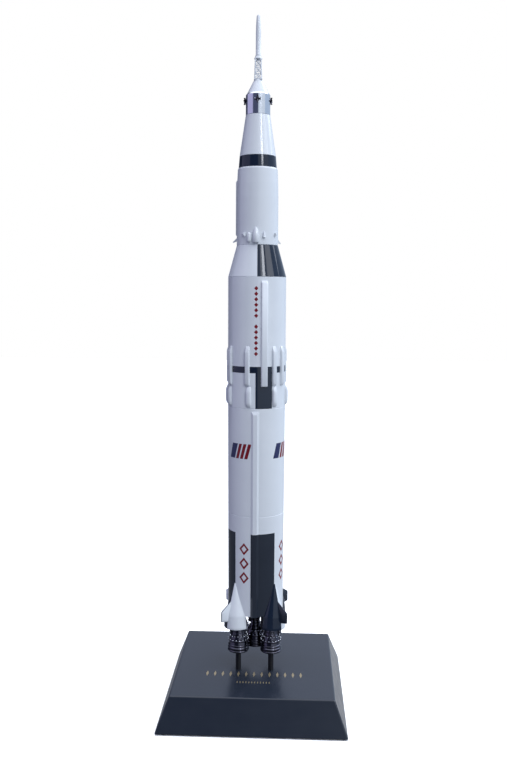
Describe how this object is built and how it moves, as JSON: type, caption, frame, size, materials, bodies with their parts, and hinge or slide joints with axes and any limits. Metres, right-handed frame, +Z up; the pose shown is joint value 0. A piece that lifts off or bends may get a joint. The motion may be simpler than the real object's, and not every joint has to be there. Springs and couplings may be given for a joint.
{
  "type": "model rocket",
  "caption": "Desk display model of a staged launch rocket held upright on rods over a tapered plinth; its stages, payload and escape tower lift apart.",
  "frame": {"origin": "middle of the felt's underside, where the plinth rests on the table", "axes": "+Z up along the rocket, -Y towards the front of the plinth, +X to the right seen from the front"},
  "size_m": [0.159, 0.159, 0.5958],
  "materials": {
    "white_lacquer": "glossy white lacquer",
    "black_lacquer": "glossy black lacquer",
    "plinth_paint": "satin black lacquer over wood",
    "felt": "short felt",
    "rod_metal": "satin black",
    "engine_chrome": "dark chrome plating",
    "silver_plate": "bright silver plating",
    "white_plastic": "bare moulded white plastic"
  },
  "bodies": {
    "stand": {"base_block": "plinth_paint", "base_felt": "felt", "stand_rod_left": "rod_metal", "stand_rod_right": "rod_metal"},
    "first_stage": {"tail_tube": "white_lacquer", "forward_tube": "white_lacquer", "tube_coupler": "white_plastic", "tail_plate": "black_lacquer", "booster_collar": "white_plastic", "booster_tunnel": "white_lacquer", "front_left_fairing": "white_lacquer", "front_right_fairing": "white_lacquer", "rear_left_fairing": "white_lacquer", "rear_right_fairing": "white_lacquer", "front_left_fin": "white_lacquer", "front_right_fin": "black_lacquer", "rear_left_fin": "white_lacquer", "rear_right_fin": "black_lacquer", "centre_engine": "engine_chrome", "front_left_engine": "engine_chrome", "front_right_engine": "engine_chrome", "rear_left_engine": "engine_chrome", "rear_right_engine": "engine_chrome", "centre_manifold": "engine_chrome", "front_left_manifold": "engine_chrome", "front_right_manifold": "engine_chrome", "rear_left_manifold": "engine_chrome", "rear_right_manifold": "engine_chrome"},
    "second_stage": {"stage_two_tube": "white_lacquer", "stage_two_tunnel": "white_lacquer", "feedline_fairings": "white_lacquer", "ullage_fairings": "white_lacquer", "interstage_cone": "white_lacquer"},
    "third_stage": {"stage_three_tube": "white_lacquer", "stage_three_tunnel": "white_lacquer", "attitude_pods": "white_lacquer", "settling_pods": "white_lacquer", "aft_nozzles": "silver_plate", "aft_flaps": "white_lacquer", "instrument_ring": "black_lacquer"},
    "payload": {"lander_adapter": "white_lacquer", "service_module": "silver_plate", "front_thruster_quad": "engine_chrome", "right_thruster_quad": "engine_chrome", "rear_thruster_quad": "engine_chrome", "left_thruster_quad": "engine_chrome", "capsule_cover": "white_lacquer"},
    "escape_tower": {"tower_base": "white_lacquer", "tower_frame": "white_lacquer", "motor_skirt": "white_lacquer", "escape_motor": "white_lacquer"}
  },
  "joints": [
    {"name": "rocket_lift", "type": "slide", "parent": "stand", "child": "first_stage", "axis": [0, 0, 1], "range_m": [0, 0.066]},
    {"name": "second_stage_lift", "type": "slide", "parent": "first_stage", "child": "second_stage", "axis": [0, 0, 1], "range_m": [0, 0.014]},
    {"name": "third_stage_lift", "type": "slide", "parent": "second_stage", "child": "third_stage", "axis": [0, 0, 1], "range_m": [0, 0.014]},
    {"name": "payload_lift", "type": "slide", "parent": "third_stage", "child": "payload", "axis": [0, 0, 1], "range_m": [0, 0.014]},
    {"name": "tower_lift", "type": "slide", "parent": "payload", "child": "escape_tower", "axis": [0, 0, 1], "range_m": [0, 0.012]}
  ]
}
